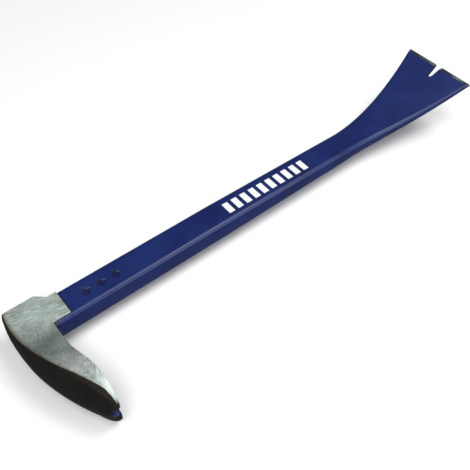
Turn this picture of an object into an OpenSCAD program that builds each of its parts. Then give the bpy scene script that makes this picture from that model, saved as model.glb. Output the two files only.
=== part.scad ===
// One-piece forged pry bar and nail lifter.
// The bar lies along +X, the claw's tips point to -Y, and +Z is the broad face's normal.
// The origin is the centre of the striking face.

/* [Overall] */
// Length from the back of the head to the end of the blade
bar_len = 255; // [212:1:306]
// Length from the striking face to the tips of the claw
claw_len = 59.5; // [49:0.5:72]

/* [Striking face and neck] */
// Length of the striking face along the bar
face_len = 13.7; // [11:0.1:17]
// How far the neck is set back from the striking face
neck_drop = 3.7; // [3:0.1:4.6]
// Length of the slope from the striking face down to the neck
neck_slope = 3.6; // [2.8:0.1:4.5]
// Length of the bare neck between the slope and the enamel
neck_len = 4.2; // [3:0.1:6]
// Chamfer around the striking face
face_chamfer = 0.5; // [0.3:0.1:0.8]

/* [Claw] */
// Widest part of the claw, as a multiple of the shank's thickness
claw_flare = 2.46; // [2.04:0.02:2.96]
// Width across the claw's tips, as a multiple of the shank's thickness
tip_flare = 1.36; // [1.14:0.02:1.64]
// Where the claw is widest, as a share of its length
wide_at = 0.8; // [0.68:0.01:0.86]
// How far the heel bulges behind the striking face
heel_bulge = 1.05; // [0.6:0.05:2]
// How gently the back turns from the heel towards the tips
back_turn = 9; // [7:0.5:11]
// Slope of the back towards the tips, as run over length
back_slope = 0.44; // [0.38:0.005:0.46]
// Rise of the crown across the back, as a share of its half width
crown = 0.38; // [0.2:0.01:0.45]
// How far the inner face stands out at the widest part
inner_bulge = 2.4; // [1.5:0.1:3.2]
// Bevel between cheek and back at the tips
cheek_bevel = 1.8; // [1:0.1:2.4]
// Radius in the corner between the claw and the shank
corner_r = 1.4; // [1:0.1:2.4]

/* [Nail slot in the claw] */
// Width of the slot at the tips
claw_slot_w = 5; // [4:0.1:6]
// Width of the slot at its round end
claw_slot_end = 2; // [1.5:0.1:2.6]
// Length of the slot from the tips to its round end
claw_slot_len = 10.5; // [8.5:0.5:13]
// Bevel along the slot on the inner face
slot_bevel = 1; // [0.5:0.1:1.5]

/* [Shank] */
// Width of the shank
shank_w = 14.1; // [11.7:0.1:17]
// Thickness of the shank and head
shank_t = 10.6; // [8.8:0.1:12.8]
// Thickness of the shank where the blade begins
root_t = 8.1; // [6.7:0.1:8.8]
// Share of the bar's length that keeps the full thickness
full_share = 0.38; // [0.2:0.01:0.5]
// Share of the bar's length at which the blade begins
root_share = 0.672; // [0.6:0.002:0.72]
// Radius along the shank's edges
edge_r = 2; // [1.4:0.1:2.4]

/* [Blade] */
// Width of the blade at its end
blade_w = 40.5; // [34:0.5:49]
// Thickness of the blade where its end bevel begins
blade_t = 2.8; // [2.2:0.1:3.4]
// Height that the blade's end rises above the shank's axis
blade_rise = 19; // [15:0.1:22.5]
// How sharply the rise gathers towards the end
rise_power = 2.45; // [2:0.05:2.6]
// How sharply the flare gathers towards the end
flare_power = 1.6; // [1.3:0.05:1.9]
// Share of the blade's length that keeps the shank's width
flare_delay = 0.13; // [0:0.01:0.2]
// Length of the ground bevel at the end
end_bevel = 2; // [0.9:0.1:2.6]
// Thickness left at the very edge
edge_t = 1.6; // [0.6:0.1:1.9]

/* [Nail slot in the blade] */
// Width of the slot at the edge
blade_slot_w = 4; // [2.8:0.1:4.8]
// Width of the slot at its round end
blade_slot_end = 2.6; // [2.1:0.1:2.8]
// Length of the slot
blade_slot_len = 8.8; // [7.4:0.1:10.8]

/* [Stamped mark] */
// Side of each stamped diamond
stamp_side = 3.3; // [2:0.1:3.6]
// Depth of the stamping
stamp_depth = 0.4; // [0.2:0.05:0.5]
// Distance from the enamel line to the first diamond's centre
stamp_from = 9.5; // [5:0.5:20]
// Spacing between the diamonds
stamp_gap = 7; // [5:0.1:8.5]
// Number of diamonds
stamp_count = 3; // [1:1:4]

/* [Hidden] */

half_t = shank_t / 2;
// The head's x values are measured from the back corner of the striking face.
back_x0 = -face_len / 2;
axis_y = -neck_drop - shank_w / 2;
paint_x = back_x0 + face_len + neck_slope + neck_len;
end_x = back_x0 - heel_bulge + bar_len;
full_x = back_x0 + bar_len * full_share;
root_x = back_x0 + bar_len * root_share;
near_y = -neck_drop - shank_w;

// Claw stations, all tied to the claw's length and the shank's place.
heel_at = 0.152 * claw_len;
wide_y = wide_at * claw_len;
back_flare_from = 0.1 * claw_len;
inner_flare_from = neck_drop + shank_w + corner_r;
inner_bulge_from = 0.45 * claw_len;
inner_tip_drop = 0.5;
inner_tip_scale = 0.96;
tip_min = 0.6;
crown_start = 0.45;
// Largest share of the claw's depth that a cheek's bevel takes.
bevel_share = 0.45;
// Largest corner radius in the bar, as a share of its thickness.
edge_share = 0.32;

corner_steps = 5;
crown_steps = 12;
head_steps = 56;
blade_steps = 40;
taper_steps = 10;
cut_over = 5;
clear = 0.2;
hair = 0.01;
$fn = 48;

function lerp(a, b, s) = a + (b - a) * s;
function clamp01(s) = min(max(s, 0), 1);
function ease(s) = let (c = clamp01(s)) c * c * (3 - 2 * c);

// Half width across the claw, d below the striking face: an eased rise, then an elliptic fall.
function flare(d, from, widest, tip) =
    d < wide_y
    ? lerp(half_t, widest, ease((d - from) / (wide_y - from)))
    : lerp(tip, widest, sqrt(max(1 - pow((d - wide_y) / (claw_len - wide_y), 2), 0)));
function back_half(d) = flare(d, back_flare_from, half_t * claw_flare, half_t * tip_flare);
function inner_half(d) =
    flare(d, inner_flare_from, half_t * claw_flare * inner_tip_scale,
          half_t * tip_flare * inner_tip_scale);

// Back profile: a sine swell to the heel, then a hyperbola that straightens towards the tips.
function back_x(d) =
    d < heel_at
    ? -heel_bulge * sin(90 * d / heel_at)
    : -heel_bulge - back_turn + sqrt(pow(back_turn, 2) + pow(back_slope * (d - heel_at), 2));
function claw_inner_x(d) =
    let (
        swell = inner_bulge * ease((d - inner_bulge_from) / (wide_y - inner_bulge_from)),
        fall = d > wide_y ? inner_tip_drop * pow((d - wide_y) / (claw_len - wide_y), 2) : 0
    )
    max(face_len + swell - fall, back_x(d) + tip_min);

// One slice through the claw: inner face, cheeks, bevels and crowned back, as x and z.
function claw_slice(d, inset = 0) =
    let (
        hb = back_half(d) - inset,
        hi = inner_half(d) - inset,
        xb = back_x(d) + inset,
        xi = claw_inner_x(d) - inset,
        grow = ease((d - claw_len / 2) / (claw_len / 2)),
        bevel = min(face_chamfer / 2 + cheek_bevel * grow, bevel_share * (xi - xb)),
        side = 1 - bevel / hb,
        rise = crown * hb * lerp(crown_start, 1, ease(2 * d / claw_len))
    )
    concat(
        [[xi, -hi], [xi, hi], [xb + bevel, lerp(hb, hi, bevel / (xi - xb))]],
        [
            for (i = [0 : crown_steps])
                let (s = side * (1 - 2 * i / crown_steps))
                [xb - rise * (side * side - s * s), hb * s]
        ],
        [[xb + bevel, -lerp(hb, hi, bevel / (xi - xb))]]
    );

// A rounded rectangle of w by t, as y and z, with corner radius r.
function round_rect(w, t, r) = [
    for (q = [0 : 3], i = [0 : corner_steps])
        let (
            a = 90 * q + 90 * i / corner_steps,
            cy = (q == 0 || q == 3 ? 1 : -1) * (w / 2 - r),
            cz = (q < 2 ? 1 : -1) * (t / 2 - r)
        )
        [cy + r * cos(a), cz + r * sin(a)]
];

// Shank and blade along the bar's axis.
function blade_s(x) = clamp01((x - root_x) / (end_x - root_x));
function rise(x) = blade_rise * pow(blade_s(x), rise_power);
function slope(x) =
    atan(blade_rise * rise_power * pow(blade_s(x), rise_power - 1) / (end_x - root_x));
function bar_w(x) =
    let (s = clamp01((blade_s(x) - flare_delay) / (1 - flare_delay)))
    lerp(shank_w, blade_w, pow(s, flare_power));
function bar_t(x) =
    x < root_x
    ? lerp(shank_t, root_t, clamp01((x - full_x) / (root_x - full_x)))
    : lerp(root_t, blade_t, blade_s(x));

// One slice through the bar at x, square to its axis, in the part's own frame.
function bar_slice(x) =
    let (t = bar_t(x), a = slope(x))
    [
        for (p = round_rect(bar_w(x), t, min(edge_r, edge_share * t)))
            [x - p[1] * sin(a), axis_y + p[0], rise(x) + p[1] * cos(a)]
    ];

// The very end: the top is ground down towards the lower face.
function end_slice() =
    let (a = slope(end_x), low = -blade_t / 2)
    [
        for (p = round_rect(blade_w, blade_t, edge_share * blade_t))
            let (z = low + (p[1] - low) * edge_t / blade_t)
            [end_x - z * sin(a), axis_y + p[0], rise(end_x) + z * cos(a)]
    ];

// Joins slices of equal point count into one closed skin.
module loft(slices) {
    n = len(slices[0]);
    rows = len(slices);
    points = [for (row = slices, p = row) p];
    sides = [
        for (r = [0 : rows - 2], i = [0 : n - 1])
            let (
                a = r * n + i,
                b = r * n + (i + 1) % n,
                c = a + n,
                e = b + n
            )
            each [[a, c, b], [b, c, e]]
    ];
    first = [for (i = [1 : n - 2]) [0, i, i + 1]];
    last = [for (i = [1 : n - 2]) let (o = (rows - 1) * n) [o, o + i + 1, o + i]];
    polyhedron(points = points, faces = concat(sides, first, last), convexity = 6);
}

// Half width of a slot, x along from its round end's centre, which is l from the mouth.
function slot_half(w0, w1, l, x) = lerp(w1, w0, x / l) / 2;

// A slot outline: round end of width w1 at the origin, w0 wide at length l along +X.
module slot_outline(w0, w1, l) {
    x1 = l + cut_over;
    h1 = slot_half(w0, w1, l, x1);
    circle(d = w1);
    polygon([[0, -w1 / 2], [x1, -h1], [x1, h1], [0, w1 / 2]]);
}

// The same outline as points, grown by g, for the bevel along a slot.
function slot_points(w0, w1, l, g) =
    let (x1 = l + cut_over, h1 = slot_half(w0, w1, l, x1) + g)
    concat(
        [
            for (i = [0 : crown_steps])
                let (a = 90 + 180 * i / crown_steps)
                [(w1 / 2 + g) * cos(a), (w1 / 2 + g) * sin(a)]
        ],
        [[x1, -h1], [x1, h1]]
    );

module claw_body() {
    stations = concat(
        [0, face_chamfer],
        [for (i = [1 : head_steps]) lerp(face_chamfer, claw_len, i / head_steps)]
    );
    loft([
        for (i = [0 : len(stations) - 1])
            let (d = stations[i])
            [
                for (p = claw_slice(d, i == 0 ? face_chamfer : 0))
                    [back_x0 + p[0], -d, p[1]]
            ]
    ]);
}

// A prism along +X from x0 to x1 whose outline is drawn as y and z.
module along_x(x0, x1) {
    translate([x0, 0, 0])
        rotate([90, 0, 90])
            linear_extrude(x1 - x0)
                children();
}

// A plate between the broad faces, set in by a hair so that no two faces lie in one plane.
module broad_plate(set_in) {
    translate([0, 0, set_in - half_t])
        linear_extrude(2 * (half_t - set_in))
            children();
}

// Neck between the claw and the enamel line: sharp where ground, rounded on the claw's side.
module neck() {
    h = half_t - hair;
    x1 = back_x0 + face_len;
    y0 = -face_chamfer - clear;
    cx = x1 + corner_r - clear;
    cy = near_y - corner_r + clear;
    along_x(back_x0 + face_len / 2, paint_x) {
        translate([near_y + edge_r, -h])
            square([shank_w - edge_r, 2 * h]);
        translate([near_y, edge_r - h])
            square([shank_w - edge_r, 2 * (h - edge_r)]);
        for (side = [-1, 1])
            translate([near_y + edge_r, side * (h - edge_r)])
                circle(r = edge_r);
    }
    broad_plate(2 * hair)
        polygon([
            [x1 - face_chamfer, y0],
            [x1 - clear, y0],
            [x1 + neck_slope, -neck_drop],
            [x1 + neck_slope, -neck_drop - face_chamfer],
            [x1 - face_chamfer, -neck_drop - face_chamfer]
        ]);
    broad_plate(edge_r + clear)
        difference() {
            translate([x1 - corner_r, cy])
                square([cx - x1 + corner_r, near_y - cy + corner_r]);
            translate([cx, cy])
                circle(r = corner_r);
        }
}

// The V slot between the prongs, with a bevel along its inner side.
module claw_slot() {
    l = claw_slot_len - claw_slot_end / 2;
    bevel_x = back_x0 + claw_inner_x(claw_len - l) - slot_bevel;
    bevel_h = slot_bevel + inner_bulge;
    translate([back_x0, l - claw_len, 0])
        rotate([-90, 0, 0])
            rotate([0, 90, 0])
                linear_extrude(2 * face_len)
                    slot_outline(claw_slot_w, claw_slot_end, l);
    loft([
        for (g = [bevel_h, -clear])
            [
                for (p = slot_points(claw_slot_w, claw_slot_end, l, g))
                    [bevel_x + g, l - claw_len - p[0], p[1]]
            ]
    ]);
}

module claw_head() {
    color("silver")
        difference() {
            union() {
                claw_body();
                neck();
            }
            claw_slot();
        }
}

module stamp() {
    for (i = [0 : stamp_count - 1])
        translate([paint_x + stamp_from + i * stamp_gap, axis_y, half_t])
            rotate([0, 0, 45])
                cube([stamp_side, stamp_side, 2 * stamp_depth], center = true);
}

module shank() {
    color("midnightblue")
        difference() {
            loft(concat(
                [bar_slice(paint_x)],
                [for (i = [0 : taper_steps]) bar_slice(lerp(full_x, root_x, i / taper_steps))]
            ));
            stamp();
        }
}

module blade_slot() {
    l = blade_slot_len - blade_slot_end / 2;
    translate([end_x, axis_y, rise(end_x)])
        rotate([0, -slope(end_x), 0])
            translate([-l, 0, -root_t])
                linear_extrude(2 * root_t)
                    slot_outline(blade_slot_w, blade_slot_end, l);
}

module pry_blade() {
    last_x = end_x - end_bevel * cos(slope(end_x));
    color("mediumblue")
        difference() {
            loft(concat(
                [for (i = [0 : blade_steps]) bar_slice(lerp(root_x, last_x, i / blade_steps))],
                [end_slice()]
            ));
            blade_slot();
        }
}

claw_head();
shank();
pry_blade();
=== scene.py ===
import math
import bmesh
import bpy
import numpy as np
from mathutils import Matrix, Vector


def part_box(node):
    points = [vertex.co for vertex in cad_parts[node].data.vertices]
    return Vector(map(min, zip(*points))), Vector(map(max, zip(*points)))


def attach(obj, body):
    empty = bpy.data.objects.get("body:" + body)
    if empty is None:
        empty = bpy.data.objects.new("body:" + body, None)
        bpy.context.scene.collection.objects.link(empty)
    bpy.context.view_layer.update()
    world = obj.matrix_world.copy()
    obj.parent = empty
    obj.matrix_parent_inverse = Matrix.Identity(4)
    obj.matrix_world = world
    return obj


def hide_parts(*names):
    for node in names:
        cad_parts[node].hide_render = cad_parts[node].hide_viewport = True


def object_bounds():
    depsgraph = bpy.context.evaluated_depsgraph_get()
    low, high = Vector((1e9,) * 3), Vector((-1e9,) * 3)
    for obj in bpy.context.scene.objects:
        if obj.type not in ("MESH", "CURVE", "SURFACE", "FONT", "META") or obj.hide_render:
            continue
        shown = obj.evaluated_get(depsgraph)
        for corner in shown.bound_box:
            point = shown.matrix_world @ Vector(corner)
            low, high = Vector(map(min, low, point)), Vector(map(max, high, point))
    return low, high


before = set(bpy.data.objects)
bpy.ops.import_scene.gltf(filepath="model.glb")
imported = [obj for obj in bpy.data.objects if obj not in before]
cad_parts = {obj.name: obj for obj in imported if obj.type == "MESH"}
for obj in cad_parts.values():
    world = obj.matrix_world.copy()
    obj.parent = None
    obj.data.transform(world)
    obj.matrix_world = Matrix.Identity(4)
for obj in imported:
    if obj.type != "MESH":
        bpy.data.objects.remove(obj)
cadBox = [list(corner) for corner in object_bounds()]
scene = bpy.context.scene

# Shapes are worked out in millimetres and become metres as they enter a mesh.
mm = 0.001
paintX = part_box("shank")[0].x / mm  # where the enamel begins
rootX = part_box("pry_blade")[0].x / mm  # where the blade begins
clawLength = -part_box("claw_head")[0].y / mm
shankLow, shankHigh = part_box("shank")
axisY = (shankLow.y + shankHigh.y) / 2 / mm
shankWidth = (shankHigh.y - shankLow.y) / mm
halfThick = shankHigh.z / mm
print("frame loaded")

# The camera stands before the claw and looks down along the bar.
viewing = {
    "place": (-22.73, -144.64, 208.27),  # mm
    "azimuth": -42.8,  # degrees round the bar from its front
    "elevation": 50.84,  # degrees above the broad face
    "roll": 4.09,
    "lens": 45.61,  # mm
    "sensor": 36,  # mm
    "shiftX": 0.0094,
    "shiftY": -0.0037,
    "nearest": 10,  # mm
    "furthest": 10000,  # mm
}


def makeCamera(settings):
    # turned about its own axis first, then tipped up from straight down, then swung round the bar
    camera = bpy.data.objects.new("camera", bpy.data.cameras.new("camera"))
    scene.collection.objects.link(camera)
    camera.location = [value * mm for value in settings["place"]]
    spin = Matrix.Rotation(math.radians(settings["roll"]), 3, "Z")
    tip = Matrix.Rotation(math.radians(90 - settings["elevation"]), 3, "X")
    turn = Matrix.Rotation(math.radians(settings["azimuth"]), 3, "Z")
    camera.rotation_euler = (turn @ tip @ spin).to_euler()
    camera.data.sensor_width = settings["sensor"]
    camera.data.lens = settings["lens"]
    camera.data.shift_x = settings["shiftX"]
    camera.data.shift_y = settings["shiftY"]
    camera.data.clip_start = settings["nearest"] * mm
    camera.data.clip_end = settings["furthest"] * mm
    scene.camera = camera


makeCamera(viewing)
print("camera placed")


def linear(hexColour):
    # sRGB hex to linear RGBA: the straight part under 0.04045, the power 2.4 above it
    raw = [int(hexColour[i:i + 2], 16) / 255 for i in (1, 3, 5)]
    return [c / 12.92 if c < 0.04045 else ((c + 0.055) / 1.055) ** 2.4 for c in raw] + [1]


def add(tree, kind, inputs=None, stops=None, **settings):
    # A node with its settings. An input that is another node's socket is linked, any other is set.
    # Sockets that share a name go by number: on a Mix, 0 is the share, 2 and 3 are the two numbers,
    # and 6 and 7 the two colours. A ramp's two stops are a position and a hex colour or grey level.
    node = tree.nodes.new(kind)
    for name, value in settings.items():
        setattr(node, name, value)
    for name, value in (inputs or {}).items():
        if isinstance(value, bpy.types.NodeSocket):
            tree.links.new(value, node.inputs[name])
        else:
            node.inputs[name].default_value = value
    if stops:
        for element, (position, colour) in zip(node.color_ramp.elements, stops):
            element.position = position
            element.color = linear(colour) if isinstance(colour, str) else [colour] * 3 + [1]
    return node


def startMaterial(name):
    # an empty tree with a shader and its output, and the place on the object that patterns read
    material = bpy.data.materials.new(name)
    material.use_nodes = True
    tree = material.node_tree
    tree.nodes.clear()
    shader = add(tree, "ShaderNodeBsdfPrincipled")
    add(tree, "ShaderNodeOutputMaterial", {"Surface": shader.outputs["BSDF"]})
    place = add(tree, "ShaderNodeTexCoord").outputs["Object"]
    return material, tree, shader, place


def stovedEnamel():
    # Stoved enamel, sprayed over the forging and baked: a deep blue, a soft gloss with a little
    # orange peel, and slow waves where the forging under it isn't flat.
    look = {
        "blue": "#0a2260",
        "deepBlue": "#071b54",
        "edge": "#070b1e",  # the thin dark line where the coat stops at the mask; also the painted shade in the stamps and the neck's corner
        "cloud": 18,  # mm between lighter and darker patches
        "peel": 1.6,  # mm, drawn coarser than the real half millimetre so that it shows
        "peelHeight": 0.03,  # mm
        "wave": 14,  # mm between the forging's slow waves
        "waveHeight": 0.25,  # mm
        "glossy": 0.3,  # roughness where the coat is thickest
        "softer": 0.38,
    }
    material, tree, shader, place = startMaterial("stoved_blue_enamel")
    cloud = add(tree, "ShaderNodeTexNoise", {
        "Vector": place, "Scale": 1 / (look["cloud"] * mm), "Detail": 3}).outputs["Fac"]
    peel = add(tree, "ShaderNodeTexNoise", {
        "Vector": place, "Scale": 1 / (look["peel"] * mm), "Detail": 2}).outputs["Fac"]
    wave = add(tree, "ShaderNodeTexNoise", {
        "Vector": place, "Scale": 1 / (look["wave"] * mm), "Detail": 1}).outputs["Fac"]
    # the mask's dark line, and the painted shade of the stamps and the neck's corner
    edge = add(tree, "ShaderNodeAttribute", attribute_name="maskLineAndShade").outputs["Fac"]
    blue = add(tree, "ShaderNodeValToRGB", {"Fac": cloud}, [
        (0.35, look["deepBlue"]), (0.65, look["blue"])]).outputs["Color"]
    linedAndShaded = add(tree, "ShaderNodeMix", {
        0: edge, 6: blue, 7: linear(look["edge"])}, data_type="RGBA").outputs[2]
    gloss = add(tree, "ShaderNodeValToRGB", {"Fac": cloud}, [
        (0.3, look["glossy"]), (0.7, look["softer"])]).outputs["Color"]
    slow = add(tree, "ShaderNodeBump", {
        "Height": wave, "Strength": 0.5, "Distance": look["waveHeight"] * mm}).outputs["Normal"]
    fine = add(tree, "ShaderNodeBump", {
        "Height": peel, "Strength": 0.25, "Distance": look["peelHeight"] * mm,
        "Normal": slow}).outputs["Normal"]
    tree.links.new(linedAndShaded, shader.inputs["Base Color"])
    tree.links.new(gloss, shader.inputs["Roughness"])
    tree.links.new(fine, shader.inputs["Normal"])
    shader.inputs["IOR"].default_value = 1.5
    return material


def groundSteel():
    # Forged carbon steel, its broad faces ground on a belt: satin, with short fine lines that run
    # along the bar at the neck and slant across the claw. Heat and old scale leave it brown where
    # the grinding ran out at the back edge. Across the claw's cheeks a band of painted shade and a
    # zone of painted light are put into its colour.
    look = {
        "bright": "#d3e0d9",
        "dull": "#96a49b",
        "litBright": "#f4f8f6",  # painted light: the cheek's tilted part towards the tips made brighter, standing in for the lamps' sheen there
        "litDull": "#b4c1b9",
        "brown": "#84775f",
        "shadeAndDullTone": "#3f4641",  # painted shade in a band across the claw's cheeks; a duller steel on the blade's end bevel
        "lineWidth": 0.32,  # mm, drawn coarser than real 80 grit so that it shows
        "lineLength": 3.0,  # mm
        "lineHeight": 0.05,  # mm
        "neckTurn": -14,  # degrees between the lines and the bar
        "clawTurn": 52,
        "blotch": 7,  # mm
        "blotchShare": 0.35,  # how much of the shading is blotches, and the rest is lines
        "smooth": 0.54,  # roughness
        "coarse": 0.68,
    }
    material, tree, shader, place = startMaterial("belt_ground_steel")
    stretch = [look[key] * mm for key in ("lineLength", "lineWidth", "lineWidth")]
    lineSets = []
    for key in ("neckTurn", "clawTurn"):
        # the texture kind of mapping turns first and stretches after, so the lines lean as well
        turned = add(tree, "ShaderNodeMapping", {
            "Vector": place, "Rotation": (0, 0, math.radians(look[key])), "Scale": stretch,
        }, vector_type="TEXTURE").outputs["Vector"]
        lineSets.append(add(tree, "ShaderNodeTexNoise", {
            "Vector": turned, "Scale": 1, "Detail": 4}).outputs["Fac"])
    clawShare = add(tree, "ShaderNodeAttribute", attribute_name="clawShare").outputs["Fac"]
    lines = add(tree, "ShaderNodeMix", {
        0: clawShare, 2: lineSets[0], 3: lineSets[1]}).outputs[0]
    blotch = add(tree, "ShaderNodeTexNoise", {
        "Vector": place, "Scale": 1 / (look["blotch"] * mm), "Detail": 5}).outputs["Fac"]
    shade = add(tree, "ShaderNodeMix", {
        0: look["blotchShare"], 6: lines, 7: blotch}, data_type="RGBA").outputs[2]
    satin = add(tree, "ShaderNodeValToRGB", {"Fac": shade}, [
        (0.36, look["dull"]), (0.62, look["bright"])]).outputs["Color"]
    # painted light: a brighter copy of the satin ramp for the claw's cheek towards the tips
    paintedLit = add(tree, "ShaderNodeValToRGB", {"Fac": shade}, [
        (0.36, look["litDull"]), (0.62, look["litBright"])]).outputs["Color"]
    paintedBright = add(tree, "ShaderNodeAttribute", attribute_name="paintedBright").outputs["Fac"]
    litBright = add(tree, "ShaderNodeMix", {
        0: paintedBright, 6: satin, 7: paintedLit}, data_type="RGBA").outputs[2]
    edge = add(tree, "ShaderNodeAttribute", attribute_name="backEdge").outputs["Fac"]
    ragged = add(tree, "ShaderNodeMath", {0: edge, 1: blotch}, operation="MULTIPLY").outputs[0]
    browned = add(tree, "ShaderNodeMix", {
        0: ragged, 6: litBright, 7: linear(look["brown"])}, data_type="RGBA").outputs[2]
    # painted shade: a dark band in cloudy patches across the claw's cheeks; on the blade's end
    # bevel, a duller steel
    shadeAndDull = add(tree, "ShaderNodeAttribute", attribute_name="shadeAndDull").outputs["Fac"]
    cloudy = add(tree, "ShaderNodeMath", {
        0: shadeAndDull, 1: blotch}, operation="MULTIPLY", use_clamp=True).outputs[0]
    colour = add(tree, "ShaderNodeMix", {
        0: cloudy, 6: browned, 7: linear(look["shadeAndDullTone"])}, data_type="RGBA").outputs[2]
    rough = add(tree, "ShaderNodeValToRGB", {"Fac": lines}, [
        (0.3, look["smooth"]), (0.7, look["coarse"])]).outputs["Color"]
    bump = add(tree, "ShaderNodeBump", {
        "Height": lines, "Strength": 0.4, "Distance": look["lineHeight"] * mm}).outputs["Normal"]
    tree.links.new(colour, shader.inputs["Base Color"])
    tree.links.new(rough, shader.inputs["Roughness"])
    tree.links.new(bump, shader.inputs["Normal"])
    shader.inputs["Metallic"].default_value = 1
    return material


def forgeScale():
    # Forge scale: the black iron oxide that the hot steel grew, left on the back of the claw. A
    # soft broken sheen over shallow pits, rubbed to grey-brown along the bevels.
    look = {
        "black": "#151617",
        "brownBlack": "#1f1b17",
        "rubbed": "#332c23",
        "patch": 6,  # mm
        "pit": 0.9,  # mm
        "pitDepth": 0.12,  # mm
        "smooth": 0.42,  # roughness
        "coarse": 0.6,
        "sheen": 0.2,  # the pores swallow some of it
    }
    material, tree, shader, place = startMaterial("forge_scale")
    patch = add(tree, "ShaderNodeTexNoise", {
        "Vector": place, "Scale": 1 / (look["patch"] * mm), "Detail": 6}).outputs["Fac"]
    pits = add(tree, "ShaderNodeTexNoise", {
        "Vector": place, "Scale": 1 / (look["pit"] * mm), "Detail": 3}).outputs["Fac"]
    dark = add(tree, "ShaderNodeValToRGB", {"Fac": patch}, [
        (0.38, look["black"]), (0.64, look["brownBlack"])]).outputs["Color"]
    worn = add(tree, "ShaderNodeAttribute", attribute_name="rubbed").outputs["Fac"]
    ragged = add(tree, "ShaderNodeMath", {0: worn, 1: pits}, operation="MULTIPLY").outputs[0]
    colour = add(tree, "ShaderNodeMix", {
        0: ragged, 6: dark, 7: linear(look["rubbed"])}, data_type="RGBA").outputs[2]
    rough = add(tree, "ShaderNodeValToRGB", {"Fac": patch}, [
        (0.3, look["smooth"]), (0.7, look["coarse"])]).outputs["Color"]
    bump = add(tree, "ShaderNodeBump", {
        "Height": pits, "Strength": 0.5, "Distance": look["pitDepth"] * mm}).outputs["Normal"]
    tree.links.new(colour, shader.inputs["Base Color"])
    tree.links.new(rough, shader.inputs["Roughness"])
    tree.links.new(bump, shader.inputs["Normal"])
    shader.inputs["IOR"].default_value = 1.5
    shader.inputs["Specular IOR Level"].default_value = look["sheen"]
    return material


def padInk():
    # White ink, pad printed on the enamel: thin, matt and a little uneven in its cover.
    look = {
        "white": "#f2f4f4",
        "thin": "#c9cfdb",
        "grain": 0.8,  # mm
        "rough": 0.55,
    }
    material, tree, shader, place = startMaterial("white_pad_ink")
    cover = add(tree, "ShaderNodeTexNoise", {
        "Vector": place, "Scale": 1 / (look["grain"] * mm), "Detail": 3}).outputs["Fac"]
    colour = add(tree, "ShaderNodeValToRGB", {"Fac": cover}, [
        (0.3, look["thin"]), (0.45, look["white"])]).outputs["Color"]
    tree.links.new(colour, shader.inputs["Base Color"])
    shader.inputs["Roughness"].default_value = look["rough"]
    return material


enamel = stovedEnamel()
steel = groundSteel()
scale = forgeScale()
ink = padInk()
print("materials made")


def lerp(a, b, s):
    # a straight run from a at 0 to b at 1
    return a + (b - a) * s


def ease(s):
    # held at 0 below 0 and at 1 above 1; between them, three times the square less twice the cube
    s = np.clip(s, 0, 1)
    return s * s * (3 - 2 * s)


def points(x, y, z):
    # three arrays that broadcast together become one grid of points
    return np.stack(np.broadcast_arrays(x, y, z), -1).astype(float)


def fan(loop):
    # a flat end: the loop's points shrink in equal steps to their middle
    rings = 3
    loop = np.concatenate([loop, loop[:1]])
    middle = (loop.min(0) + loop.max(0)) / 2
    share = np.linspace(1, 0, rings + 1)[:, None, None]
    return middle + (loop[None] - middle) * share


welding = {
    "gap": 0.002,  # mm, under which points of neighbouring patches become one
    "sharp": 32,  # degrees between faces, past which an edge stays crisp
}


def makePiece(name, patches, materials, replaced=()):
    # Each patch is a grid of points, its material, and the attributes that its material reads. Four
    # neighbouring points of a grid make one face, and the patches are welded where they meet.
    corners, quads, finishes = [], [], []
    values = {}
    start = 0
    for grid, material, *given in patches:
        rows, columns = grid.shape[:2]
        index = start + np.arange(rows * columns).reshape(rows, columns)
        faces = np.stack([index[:-1, :-1], index[1:, :-1], index[1:, 1:], index[:-1, 1:]], -1)
        faces = faces.reshape(-1, 4)
        corners.append(grid.reshape(-1, 3) * mm)
        quads.append(faces)
        finishes.append(np.full(len(faces), materials.index(material)))
        for key, value in (given[0] if given else {}).items():
            spread = np.broadcast_to(value, (rows, columns)).ravel()
            values.setdefault(key, []).append((start, spread))
        start += rows * columns
    mesh = bpy.data.meshes.new(name)
    allQuads = np.concatenate(quads)
    mesh.from_pydata(np.concatenate(corners), [], allQuads)
    mesh.polygons.foreach_set("material_index", np.concatenate(finishes).astype(np.int32))
    for key, parts in values.items():
        whole = np.zeros(start, np.float32)
        for first, part in parts:
            whole[first:first + len(part)] = part
        # kept by face corner, because the weld lets a shared point have only one patch's value
        kept = mesh.attributes.new(key, "FLOAT", "CORNER")
        kept.data.foreach_set("value", whole[allQuads.ravel()])
    work = bmesh.new()
    work.from_mesh(mesh)
    bmesh.ops.remove_doubles(work, verts=work.verts, dist=welding["gap"] * mm)
    bmesh.ops.recalc_face_normals(work, faces=work.faces)
    openEdges = sum(1 for edge in work.edges if not edge.is_manifold)
    work.to_mesh(mesh)
    work.free()
    mesh.polygons.foreach_set("use_smooth", np.ones(len(mesh.polygons), bool))
    mesh.set_sharp_from_angle(angle=math.radians(welding["sharp"]))
    piece = bpy.data.objects.new(name, mesh)
    scene.collection.objects.link(piece)
    for material in materials:
        mesh.materials.append(material)
    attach(piece, "root")
    if replaced:
        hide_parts(*replaced)
    print(name, "made:", len(mesh.polygons), "faces,", openEdges, "open edges")


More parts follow.
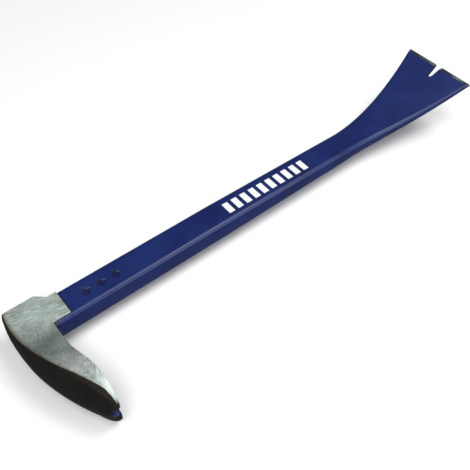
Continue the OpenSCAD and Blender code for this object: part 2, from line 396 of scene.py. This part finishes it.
# The bar is the shank and the blade. Lengths are in millimetres, as in the CAD.
shank = {
    "edgeRadius": 2.0,
    "edgeShare": 0.32,  # largest edge radius, as a share of the thickness
    "fullUntil": 90.05,  # from the origin, where the taper begins
    "lip": 0.14,  # how far the enamel's edge rounds down at the mask line
    "maskLine": 0.9,  # width of the dark line there
    "stampFrom": 9.5,  # from the enamel line to the first diamond's centre
    "stampCount": 3,
    "stampGap": 7.0,
    "stampSide": 3.3,
    "stampDepth": 0.4,
    "stampSoft": 0.4,  # over which the enamel rounds a stamped edge
    "stampWallShade": 2.6,  # how dark the painted shade lies down a stamped wall
    "stampFloorShade": 0.6,  # and on its floor
    "stampReach": 3.0,  # how far past an end diamond's centre the grid stays fine
}
blade = {
    "rootThick": 8.1,
    "width": 40.5,
    "thick": 2.8,
    "rise": 19.0,
    "risePower": 2.45,
    "flarePower": 1.6,
    "flareDelay": 0.13,
    "endX": 247.1,
    "endBevel": 2.0,
    "edgeThick": 1.6,
    "bevelDull": 1.7,  # how little the belt brightened the end bevel
    "slotWidth": 4.0,
    "slotRoot": 2.6,  # width at the round end
    "slotLength": 8.8,
}
sectionSteps = {"flat": 25, "edge": 10, "side": 9}  # grid points along each run of a section
edgeSlack = 0.01  # lets a comparison take in the last point of a flat


def bladeShare(x):
    # 0 at the blade's root and 1 at its end
    return np.clip((x - rootX) / (blade["endX"] - rootX), 0, 1)


def bladeRise(x):
    # the whole rise times a power of the share
    return blade["rise"] * bladeShare(x) ** blade["risePower"]


def bladeSlope(x):
    # the angle whose tangent is the rise's own slope
    steep = blade["rise"] * blade["risePower"] / (blade["endX"] - rootX)
    return np.arctan(steep * bladeShare(x) ** (blade["risePower"] - 1))


def barWidth(x):
    # the shank's width, then a flare that grows as a power of the share past its delay
    s = np.clip((bladeShare(x) - blade["flareDelay"]) / (1 - blade["flareDelay"]), 0, 1)
    return lerp(shankWidth, blade["width"], s ** blade["flarePower"])


def barThick(x):
    # full thickness, a straight taper to the blade's root, and a second one to its end
    taper = np.clip((x - shank["fullUntil"]) / (rootX - shank["fullUntil"]), 0, 1)
    return np.where(x < rootX, lerp(2 * halfThick, blade["rootThick"], taper),
                    lerp(blade["rootThick"], blade["thick"], bladeShare(x)))


def halfSection(width, thick, inner):
    # Half of a rounded rectangle from its top middle round to its bottom middle, as across and up.
    # A slot's half width moves the middle outwards. width, thick and inner are columns, one row a
    # station.
    radius = np.minimum(shank["edgeRadius"], shank["edgeShare"] * thick)
    flat = width / 2 - radius
    tall = thick / 2 - radius
    s = np.linspace(0, 1, sectionSteps["flat"])[None]
    turn = np.radians(np.linspace(90, 0, sectionSteps["edge"]))[None, 1:]
    side = np.linspace(0, 1, sectionSteps["side"])[None, 1:]
    across = [
        lerp(inner, flat, s),
        flat + radius * np.cos(turn),
        flat + radius + 0 * side,
        flat + radius * np.cos(turn[:, ::-1]),
        lerp(flat, inner, s),
    ]
    up = [
        tall + radius + 0 * s,
        tall + radius * np.sin(turn),
        lerp(tall, -tall, side),
        -tall - radius * np.sin(turn[:, ::-1]),
        -tall - radius + 0 * s,
    ]
    return np.concatenate(across, 1), np.concatenate(up, 1)


def placeSection(x, across, up):
    # the section's own axes stand square to the curved bar
    slope = bladeSlope(x)
    return points(x - up * np.sin(slope), axisY + across, bladeRise(x) + up * np.cos(slope))


def stampedShare(x, across):
    # 1 inside a diamond and 0 outside: the taxicab distance from its centre, eased over its edge
    half = shank["stampSide"] / math.sqrt(2)
    share = 0
    for i in range(shank["stampCount"]):
        centre = paintX + shank["stampFrom"] + i * shank["stampGap"]
        reach = np.abs(x - centre) + np.abs(across)
        share = share + ease((half + shank["stampSoft"] / 2 - reach) / shank["stampSoft"])
    return share


def makeShank():
    # Rounded rectangles along the bar, set closer together past the stamps. The stamps push the
    # broad faces' points down by their depth times their share.
    firstStamp = paintX + shank["stampFrom"] - shank["stampReach"]
    stamps = (shank["stampCount"] - 1) * shank["stampGap"]
    lastStamp = firstStamp + stamps + 2 * shank["stampReach"]
    x = np.concatenate([
        [paintX, paintX + shank["lip"]],
        np.linspace(paintX + 1, firstStamp, 10),
        np.linspace(firstStamp, lastStamp, 90)[1:],
        np.linspace(lastStamp, shank["fullUntil"], 30)[1:],
        np.linspace(shank["fullUntil"], rootX, 50)[1:],
    ])[:, None]
    shrink = np.where(x == paintX, 2 * shank["lip"], 0)
    across, up = halfSection(barWidth(x) - shrink, barThick(x) - shrink, 0 * x)
    onFlat = np.abs(across) < shankWidth / 2 - shank["edgeRadius"] + edgeSlack
    stamped = np.where((up > 0) & onFlat, stampedShare(x, across), 0)
    # painted shade in the stamps: darker down their walls than on their floors
    stampShade = stamped * lerp(shank["stampWallShade"], shank["stampFloorShade"], stamped)
    sunk = up - shank["stampDepth"] * stamped
    patches = []
    halves = []
    for side in (1, -1):
        # dark where the coat meets the bare neck, but not on the near side, where it runs on
        bare = onFlat | (side > 0)
        mask = np.where(bare, ease(1 - (x - paintX) / shank["maskLine"]), 0)
        halves.append(placeSection(x, side * across, sunk))
        patches.append((halves[-1], enamel, {"maskLineAndShade": np.maximum(mask, stampShade)}))
    for row in (0, -1):
        loop = np.concatenate([halves[0][row], halves[1][row][::-1][1:-1]])
        patches.append((fan(loop), enamel))
    makePiece("enamelled_shank", patches, [enamel], ["shank"])


def makeBlade():
    # Rounded rectangles along the curve, whose middles part round the slot: a quarter circle, then
    # a straight run that opens to the end. The end bevel thins the last section from above.
    endTilt = math.cos(bladeSlope(blade["endX"]))
    rootRadius = blade["slotRoot"] / 2
    centre = blade["slotLength"] - rootRadius  # from the end to the round end's centre
    turn = np.radians(np.linspace(0, 90, 10))
    back = np.concatenate([
        centre + rootRadius * np.cos(turn),
        np.linspace(centre, blade["endBevel"], 9)[1:],
    ])
    opened = (centre - back[len(turn):]) / centre
    opening = np.concatenate([
        rootRadius * np.sin(turn),
        lerp(rootRadius, blade["slotWidth"] / 2, opened),
    ])
    slotX = blade["endX"] - back * endTilt
    plainX = np.linspace(rootX, slotX[0], 70)[:-1]
    x = np.concatenate([plainX, slotX])[:, None]
    inner = np.concatenate([0 * plainX, opening])[:, None]
    across, up = halfSection(barWidth(x), barThick(x), inner)
    endX = np.array([[blade["endX"]]])
    endInner = endX * 0 + blade["slotWidth"] / 2
    endAcross, endUp = halfSection(barWidth(endX), barThick(endX), endInner)
    low = -blade["thick"] / 2
    endUp = low + (endUp - low) * blade["edgeThick"] / blade["thick"]
    # the end bevel is ground bare over the top, its rounded edge and the side
    bareSteps = sectionSteps["flat"] + sectionSteps["edge"] + sectionSteps["side"] - 2
    depth = np.linspace(0, 1, 7)[None, :, None]
    slotRow = len(plainX)
    patches = []
    roots = []
    for side in (1, -1):
        skin = placeSection(x, side * across, up)
        end = placeSection(endX, side * endAcross, endUp)
        ground = np.concatenate([skin[-1:], end])
        whole = np.concatenate([skin, end])
        wall = lerp(whole[slotRow:, :1], whole[slotRow:, -1:], depth)
        endLoop = np.concatenate([end[0], wall[-1][::-1][1:-1]])
        patches.append((skin, enamel))
        patches.append((ground[:, :bareSteps], steel, {"shadeAndDull": blade["bevelDull"]}))
        patches.append((ground[:, bareSteps - 1:], enamel))
        patches.append((wall, enamel))
        patches.append((fan(endLoop), steel))
        roots.append(skin[0])
    patches.append((fan(np.concatenate([roots[0], roots[1][::-1][1:-1]])), enamel))
    makePiece("enamelled_blade", patches, [enamel, steel], ["pry_blade"])


makeShank()
makeBlade()


# The claw is bare but for its inner side. Lengths are in millimetres, as in the CAD.
claw = {
    "faceLength": 13.7,
    "faceChamfer": 0.5,
    "neckDrop": 3.7,
    "neckSlope": 3.6,
    "widest": 2.46,  # times half the thickness
    "tip": 1.36,
    "wideAt": 0.8,
    "innerScale": 0.96,
    "heelAt": 0.152,
    "heelBulge": 1.05,
    "backTurn": 9.0,
    "backSlope": 0.44,
    "flareFrom": 0.1,
    "crown": 0.38,
    "crownStart": 0.45,
    "innerBulge": 2.4,
    "innerBulgeFrom": 0.45,
    "innerTipDrop": 0.5,
    "tipThick": 0.6,
    "cheekBevel": 1.8,
    "bevelShare": 0.45,
    "cornerRadius": 1.4,
    "slotWidth": 5.0,
    "slotRoot": 2.0,
    "slotLength": 10.5,
    "slotBevel": 1.0,
    "dish": 0.35,  # how far a cheek is hollowed by the grinding
    "dishOver": 12.0,  # over which that fades at the neck and the tips
}
# Where the claw's finishes and its painted light and shade change, in millimetres below the
# striking face unless a note differs.
clawFinishAndLight = {
    "brown": 1.6,
    "brownFrom": 0.88,  # share of the way across a cheek, to its back edge
    # painted shade: a dark band across the cheek, where its surface turns
    "shadeAndDull": 0.85,
    "shadeBandAt": 20.0,  # at the inner edge
    "shadeBandLean": 5.0,  # how much lower it lies at the back edge
    "shadeBandReach": 5.0,
    "shadeBandBack": 0.8,  # share of it that is left at the back edge
    "turnFrom": 8.0,  # where the grinding lines turn from the neck's way to the claw's
    "turnOver": 10.0,
    # painted light: the cheek brightened towards the tips, fading out at them
    "brightFrom": 28.0,
    "brightOver": 10.0,
    "tipsFrom": 43.0,
    "tipsOver": 9.0,
    "tipsBright": 0.15,  # share of the painted brightening that is left at the tips
    "slotRub": 0.9,
    "tipRub": 0.5,
    "maskTurn": 0.35,  # radians of the rounded edge over which the mask's dark line fades
    "cornerShade": 1.2,  # how dark the painted shade lies in the corner under the neck
    "cornerReach": 2.5,  # mm out of the corner
}
cornerX = claw["faceLength"] / 2
wideY = claw["wideAt"] * clawLength
cornerY = claw["neckDrop"] + shankWidth  # how far below the face the neck's near side lies
roundY = cornerY - shank["edgeRadius"]
flatZ = halfThick - shank["edgeRadius"]  # half the flat part of a side
slotRadius = claw["slotRoot"] / 2
slotCentre = clawLength - claw["slotLength"] + slotRadius


def flare(d, begin, widest, tip):
    # an eased rise to the widest place, then an elliptic fall to the tips
    rising = lerp(halfThick, widest, ease((d - begin) / (wideY - begin)))
    past = np.clip((d - wideY) / (clawLength - wideY), 0, 1)
    return np.where(d < wideY, rising, lerp(tip, widest, np.sqrt(1 - past ** 2)))


def backLine(d):
    # a sine swell to the heel, then a hyperbola that straightens towards the tips
    heel = claw["heelAt"] * clawLength
    swell = -claw["heelBulge"] * np.sin(np.pi / 2 * np.clip(d / heel, 0, 1))
    run = claw["backSlope"] * np.clip(d - heel, 0, None)
    return swell + np.hypot(claw["backTurn"], run) - claw["backTurn"]


def innerLine(d):
    # a straight side that swells with an ease to the widest place and falls back by a square past
    # it, never closer to the back than the tips' thickness
    begin = claw["innerBulgeFrom"] * clawLength
    swell = claw["innerBulge"] * ease((d - begin) / (wideY - begin))
    fall = claw["innerTipDrop"] * np.clip((d - wideY) / (clawLength - wideY), 0, 1) ** 2
    return np.maximum(claw["faceLength"] + swell - fall, backLine(d) + claw["tipThick"])


def slotHalf(d):
    # half the slot's width: a round end, then two straight sides that open towards the tips
    rounded = np.sqrt(np.clip(slotRadius ** 2 - (slotCentre - d) ** 2, 0, None))
    share = (d - slotCentre) / (clawLength - slotCentre)
    return np.where(d < slotCentre, rounded, lerp(slotRadius, claw["slotWidth"] / 2, share))


def slotSplit(d, bevel):
    # the line on the inner side where the slot's bevel ends: a wider circle round the slot's end
    # and a line beside its walls; above the slot it eases up to the neck's corner
    rounded = np.sqrt(np.clip((slotRadius + bevel) ** 2 - (slotCentre - d) ** 2, 0, None))
    top = slotCentre - slotRadius - bevel
    begin = cornerY + claw["cornerRadius"]
    above = flatZ * (1 - ease((d - begin) / (top - begin)))
    return np.where(d < top, above, np.where(d < slotCentre, rounded, slotHalf(d) + bevel))


def makeClawHead():
    # Sections across the claw, one row each at a distance d below the striking face. A section runs
    # from the inner side over the cheek and its bevel to the crowned back, and is made for one side
    # and mirrored. The neck is laid out along the bar from the same rows.
    chamfer = claw["faceChamfer"]
    half = np.linspace(0, 1, 13)
    turn = np.linspace(0, 1, 11)
    corner = claw["cornerRadius"] * turn ** 3  # the radius grows as the rounded edge turns down
    edgeTurn = np.pi / 2 * turn
    slopeRows = np.linspace(chamfer, claw["neckDrop"], 6)
    neckRows = np.linspace(claw["neckDrop"], roundY, 16)
    cornerRows = roundY + (shank["edgeRadius"] + corner) * np.sin(edgeTurn)
    cornerZ = flatZ + (shank["edgeRadius"] + corner) * np.cos(edgeTurn)
    bodyRows = np.linspace(cornerRows[-1], slotCentre - slotRadius, 44)
    rootRows = slotCentre - slotRadius * np.cos(np.radians(np.linspace(0, 90, 9)))
    lean = np.arcsin((slotCentre - wideY) / (clawLength - wideY))
    tipRows = wideY + (clawLength - wideY) * np.sin(np.linspace(lean, np.pi / 2, 26))
    d = np.concatenate([
        [0], slopeRows, neckRows[1:], cornerRows[1:], bodyRows[1:], rootRows[1:], tipRows[1:]])
    inset = np.where(d == 0, chamfer, 0)[:, None]
    d = d[:, None]
    roundRow = len(slopeRows) + len(neckRows) - 1
    bodyRow = roundRow + len(cornerRows) - 1
    slotRow = bodyRow + len(bodyRows) - 1

    backWide = halfThick * claw["widest"]
    backTip = halfThick * claw["tip"]
    innerWide = backWide * claw["innerScale"]
    innerTip = backTip * claw["innerScale"]
    backHalf = flare(d, claw["flareFrom"] * clawLength, backWide, backTip) - inset
    innerHalf = flare(d, cornerY + claw["cornerRadius"], innerWide, innerTip) - inset
    backX = backLine(d) + inset - cornerX
    innerX = innerLine(d) - inset - cornerX
    grow = ease((d - clawLength / 2) / (clawLength / 2))
    bevel = np.minimum(chamfer / 2 + claw["cheekBevel"] * grow,
                       claw["bevelShare"] * (innerX - backX))
    cheekZ = lerp(backHalf, innerHalf, bevel / (innerX - backX))
    sideShare = 1 - bevel / backHalf
    rise = claw["crown"] * backHalf * lerp(claw["crownStart"], 1, ease(2 * d / clawLength))
    opening = slotHalf(d)

    # the slot's bevel stands on the inner side at 45 degrees
    bevelX = innerLine(slotCentre) - claw["slotBevel"] - cornerX
    bevelWidth = np.clip(innerX - bevelX, 0, claw["slotBevel"])

    def innerSkin(z):
        # the inner side, or the bevel where that lies deeper
        gap = np.where(d < slotCentre, np.hypot(slotCentre - d, z) - slotRadius, z - opening)
        return np.minimum(innerX, bevelX + gap)

    # u runs across a cheek, v over its bevel and s over the crown
    u = np.linspace(0, 1, 33)[None]
    fromNeck = ease((d - claw["neckDrop"]) / claw["dishOver"])
    fromTips = ease((clawLength - d) / claw["dishOver"])
    dish = claw["dish"] * np.sin(np.pi * u) * fromNeck * fromTips
    cheek = (lerp(innerX, backX + bevel, u), lerp(innerHalf, cheekZ, u) - dish)
    v = np.linspace(0, 1, 6)[None]
    edge = (lerp(backX + bevel, backX, v), lerp(cheekZ, backHalf * sideShare, v))
    s = lerp(sideShare, opening / backHalf, np.linspace(0, 1, 33)[None])
    crown = (backX - rise * (sideShare ** 2 - s ** 2), backHalf * s)
    split = slotSplit(d, bevelWidth)
    upperFrom = split.copy()
    upperFrom[roundRow:bodyRow + 1, 0] = cornerZ
    upperZ = lerp(upperFrom, innerHalf, half[None])
    lowerZ = lerp(opening, split, half[None])

    # the cheek's finishes and painted light: brown at the back edge, a band of painted shade, the
    # lines' turn, and painted brightening towards the tips
    brownEdge = ease((u - clawFinishAndLight["brownFrom"]) / (1 - clawFinishAndLight["brownFrom"]))
    below = (d - clawFinishAndLight["shadeBandAt"] - clawFinishAndLight["shadeBandLean"] * u) / clawFinishAndLight["shadeBandReach"]
    brightIn = ease((d - clawFinishAndLight["brightFrom"]) / clawFinishAndLight["brightOver"])
    brightOut = ease((d - clawFinishAndLight["tipsFrom"]) / clawFinishAndLight["tipsOver"])
    cheekFinishAndLight = {
        "backEdge": clawFinishAndLight["brown"] * brownEdge,
        "shadeAndDull": clawFinishAndLight["shadeAndDull"] * np.exp(-below ** 2) * lerp(1, clawFinishAndLight["shadeBandBack"], u),
        "clawShare": ease((d - clawFinishAndLight["turnFrom"]) / clawFinishAndLight["turnOver"]),
        "paintedBright": brightIn * lerp(1, clawFinishAndLight["tipsBright"], brightOut),
    }

    # the neck's stations along the bar
    slopeSteps = 7
    slopeX = cornerX + claw["neckSlope"]
    xs = np.concatenate([
        np.linspace(cornerX, slopeX, slopeSteps), np.linspace(slopeX, paintX, 8)[1:]])
    share = ((xs - cornerX) / (paintX - cornerX))[None]
    slopeDown = (slopeRows - chamfer) / (claw["neckDrop"] - chamfer)
    slopeEdge = lerp(cornerX, slopeX, slopeDown)[:, None]
    slopeAcross = lerp(cornerX, slopeEdge, np.linspace(0, 1, slopeSteps)[None])
    chamferX = np.array([[cornerX - chamfer], [cornerX]])
    chamferY = np.array([[0], [-chamfer]])
    chamferZ = np.array([[halfThick - chamfer], [halfThick]])

    # the corner's fillet, and the rounded edge that runs on from it
    arc = np.radians(np.linspace(90, 0, 7))[None, :-1]
    r = corner[:, None]
    straightX = lerp(cornerX + r, paintX, share)
    allX = np.concatenate([cornerX + r * (1 - np.sin(arc)), straightX], 1)
    out = shank["edgeRadius"] + np.concatenate([r * (1 - np.cos(arc)), 0 * straightX], 1)
    edgeY = roundY + out * np.sin(edgeTurn[:, None])
    edgeZ = flatZ + out * np.cos(edgeTurn[:, None])
    border = ease(1 - edgeTurn[:, None] / clawFinishAndLight["maskTurn"])
    # painted shade: the enamel darkened in the corner under the neck
    cornerShadeShare = ease(clawFinishAndLight["cornerShade"] - (allX - cornerX) / clawFinishAndLight["cornerReach"])
    down = flatZ * half[:, None]

    patches = []
    ends = []
    faces = []
    for side in (1, -1):
        def skin(x, z):
            # a run of the sections on this side
            return points(x, -d, side * z)
        lower = skin(innerSkin(lowerZ), lowerZ)
        upper = skin(innerSkin(upperZ), upperZ)
        cheekSkin, edgeSkin, crownSkin = skin(*cheek), skin(*edge), skin(*crown)
        patches.append((cheekSkin, steel, cheekFinishAndLight))
        patches.append((edgeSkin[:2], steel))
        patches.append((edgeSkin[1:], scale, {"rubbed": grow[1:]}))
        patches.append((crownSkin[:2], steel))
        patches.append((crownSkin[1:], scale))
        patches.append((upper[roundRow:], enamel))
        patches.append((lower[bodyRow:], enamel))

        # the slot's wall, enamelled from the inner side as far as the spray reached
        coated = 5
        wall = lerp(lower[slotRow:, :1], crownSkin[slotRow:, -1:],
                    np.linspace(0, 1, 9)[None, :, None])
        patches.append((wall[:, :coated + 1], enamel))
        patches.append((wall[:, coated:], scale, {"rubbed": clawFinishAndLight["slotRub"]}))
        tipLoop = np.concatenate([
            lower[-1], upper[-1][1:], cheekSkin[-1][1:], edgeSkin[-1][1:], crownSkin[-1][1:],
            wall[-1][::-1][1:-1],
        ])
        patches.append((fan(tipLoop), scale, {"rubbed": clawFinishAndLight["tipRub"]}))

        # neck: slope up to the striking face, ledge, broad face, rounded edge, near side
        slopeY = -slopeRows[:, None]
        patches.append((points(slopeAcross, slopeY, side * halfThick), steel))
        patches.append((points(slopeEdge, slopeY, side * halfThick * half[None]), steel))
        patches.append((points(chamferX, chamferY, side * chamferZ * half[None]), steel))
        patches.append((points(xs[None], -neckRows[:, None], side * halfThick), steel))
        patches.append((points(xs[slopeSteps - 1:][:, None], -claw["neckDrop"],
                               side * halfThick * half[None]), steel))
        patches.append((points(allX, -edgeY, side * edgeZ), enamel,
                        {"maskLineAndShade": np.maximum(border, cornerShadeShare)}))
        patches.append((points(allX[-1:], -edgeY[-1:], side * down), enamel))

        ends.append(np.concatenate([
            points(paintX, -claw["neckDrop"], side * halfThick * half),
            points(paintX, -neckRows[1:], side * halfThick),
            points(paintX, -edgeY[1:, -1], side * edgeZ[1:, -1]),
            points(paintX, -edgeY[-1, -1], side * down[::-1][1:, 0]),
        ]))
        faces.append(np.concatenate([
            points(cornerX - chamfer, 0, side * (halfThick - chamfer) * half),
            cheekSkin[0][1:], edgeSkin[0][1:], crownSkin[0][1:],
        ]))
    for this, other in (ends, faces):
        patches.append((fan(np.concatenate([this, other[::-1][1:-1]])), steel))
    makePiece("forged_claw_head", patches, [steel, scale, enamel], ["claw_head"])


makeClawHead()


# The print is a row of plain bars. Lengths are in millimetres.
printed = {
    "from": 97.0,  # from the origin along the bar
    "bars": 10,
    "width": 3.1,
    "pitch": 5.2,
    "height": 6.2,
    "thick": 0.03,
    "middle": -11.0,  # across the bar
}


def makePrint():
    # Each bar is a thin box: its rim sinks into the enamel and its top follows the shank's taper.
    thick = printed["thick"]
    length = np.linspace(0, printed["width"], 5)
    height = printed["height"] * np.array([-0.5, 0, 0.5])
    y = printed["middle"] + np.concatenate([height[:1], height, height[-1:]])[None]
    patches = []
    for i in range(printed["bars"]):
        begin = printed["from"] + i * printed["pitch"]
        x = begin + np.concatenate([length[:1], length, length[-1:]])[:, None]
        onRim = np.ones((x.size, y.size), bool)
        onRim[1:-1, 1:-1] = False
        surface = barThick(x) / 2
        patches.append((points(x, y, np.where(onRim, surface - thick, surface + thick)), ink))
        patches.append((points(x[1:-1], y[:, 1:-1], surface[1:-1] - thick), ink))
    makePiece("printed_bars", patches, [ink])


makePrint()


# The studio: a pale floor, three soft lights and a dim white world. Lengths are in metres.
studio = {
    "floor": "#fafafa",
    "floorRough": 0.9,
    "floorReach": 3,
    "floorDrop": 0.0002,  # how far the floor lies under the bar
    "world": 0.15,
    "lights": {  # each one's place, size and power in watts
        "overhead": ((0.5, -0.2, 0.95), (0.5, 0.5), 5),
        "front": ((0.5, -0.9, 0.35), (0.7, 0.4), 3.5),
        "left": ((-0.3, -0.3, 1.05), (0.7, 0.7), 9),
    },
}


def makeFloor():
    # one flat square just under the bar's lowest point
    level = cadBox[0][2] - studio["floorDrop"]
    reach = studio["floorReach"]
    square = [(-reach, -reach), (reach, -reach), (reach, reach), (-reach, reach)]
    mesh = bpy.data.meshes.new("floor")
    mesh.from_pydata([(x, y, level) for x, y in square], [], [(0, 1, 2, 3)])
    floor = bpy.data.objects.new("floor", mesh)
    scene.collection.objects.link(floor)
    paper = bpy.data.materials.new("pale_paper")
    paper.use_nodes = True
    shader = paper.node_tree.nodes["Principled BSDF"]
    shader.inputs["Base Color"].default_value = linear(studio["floor"])
    shader.inputs["Roughness"].default_value = studio["floorRough"]
    mesh.materials.append(paper)
    floor.visible_glossy = False  # the bar's sides mirror the dim studio, not the bright paper


def makeLight(name, place, size, power):
    # a soft rectangle that faces the middle of the bar
    middle = Vector([(low + high) / 2 for low, high in zip(*cadBox)])
    data = bpy.data.lights.new(name, "AREA")
    data.shape = "RECTANGLE"
    data.size, data.size_y = size
    data.energy = power
    light = bpy.data.objects.new(name, data)
    scene.collection.objects.link(light)
    light.location = place
    light.rotation_euler = (middle - Vector(place)).to_track_quat("-Z", "Y").to_euler()


makeFloor()
for name, (place, size, power) in studio["lights"].items():
    makeLight(name, place, size, power)
world = bpy.data.worlds.new("studio")
world.use_nodes = True
background = world.node_tree.nodes["Background"]
background.inputs["Color"].default_value = (1, 1, 1, 1)
background.inputs["Strength"].default_value = studio["world"]
scene.world = world
scene.view_settings.view_transform = "Standard"
print("floor and light set")
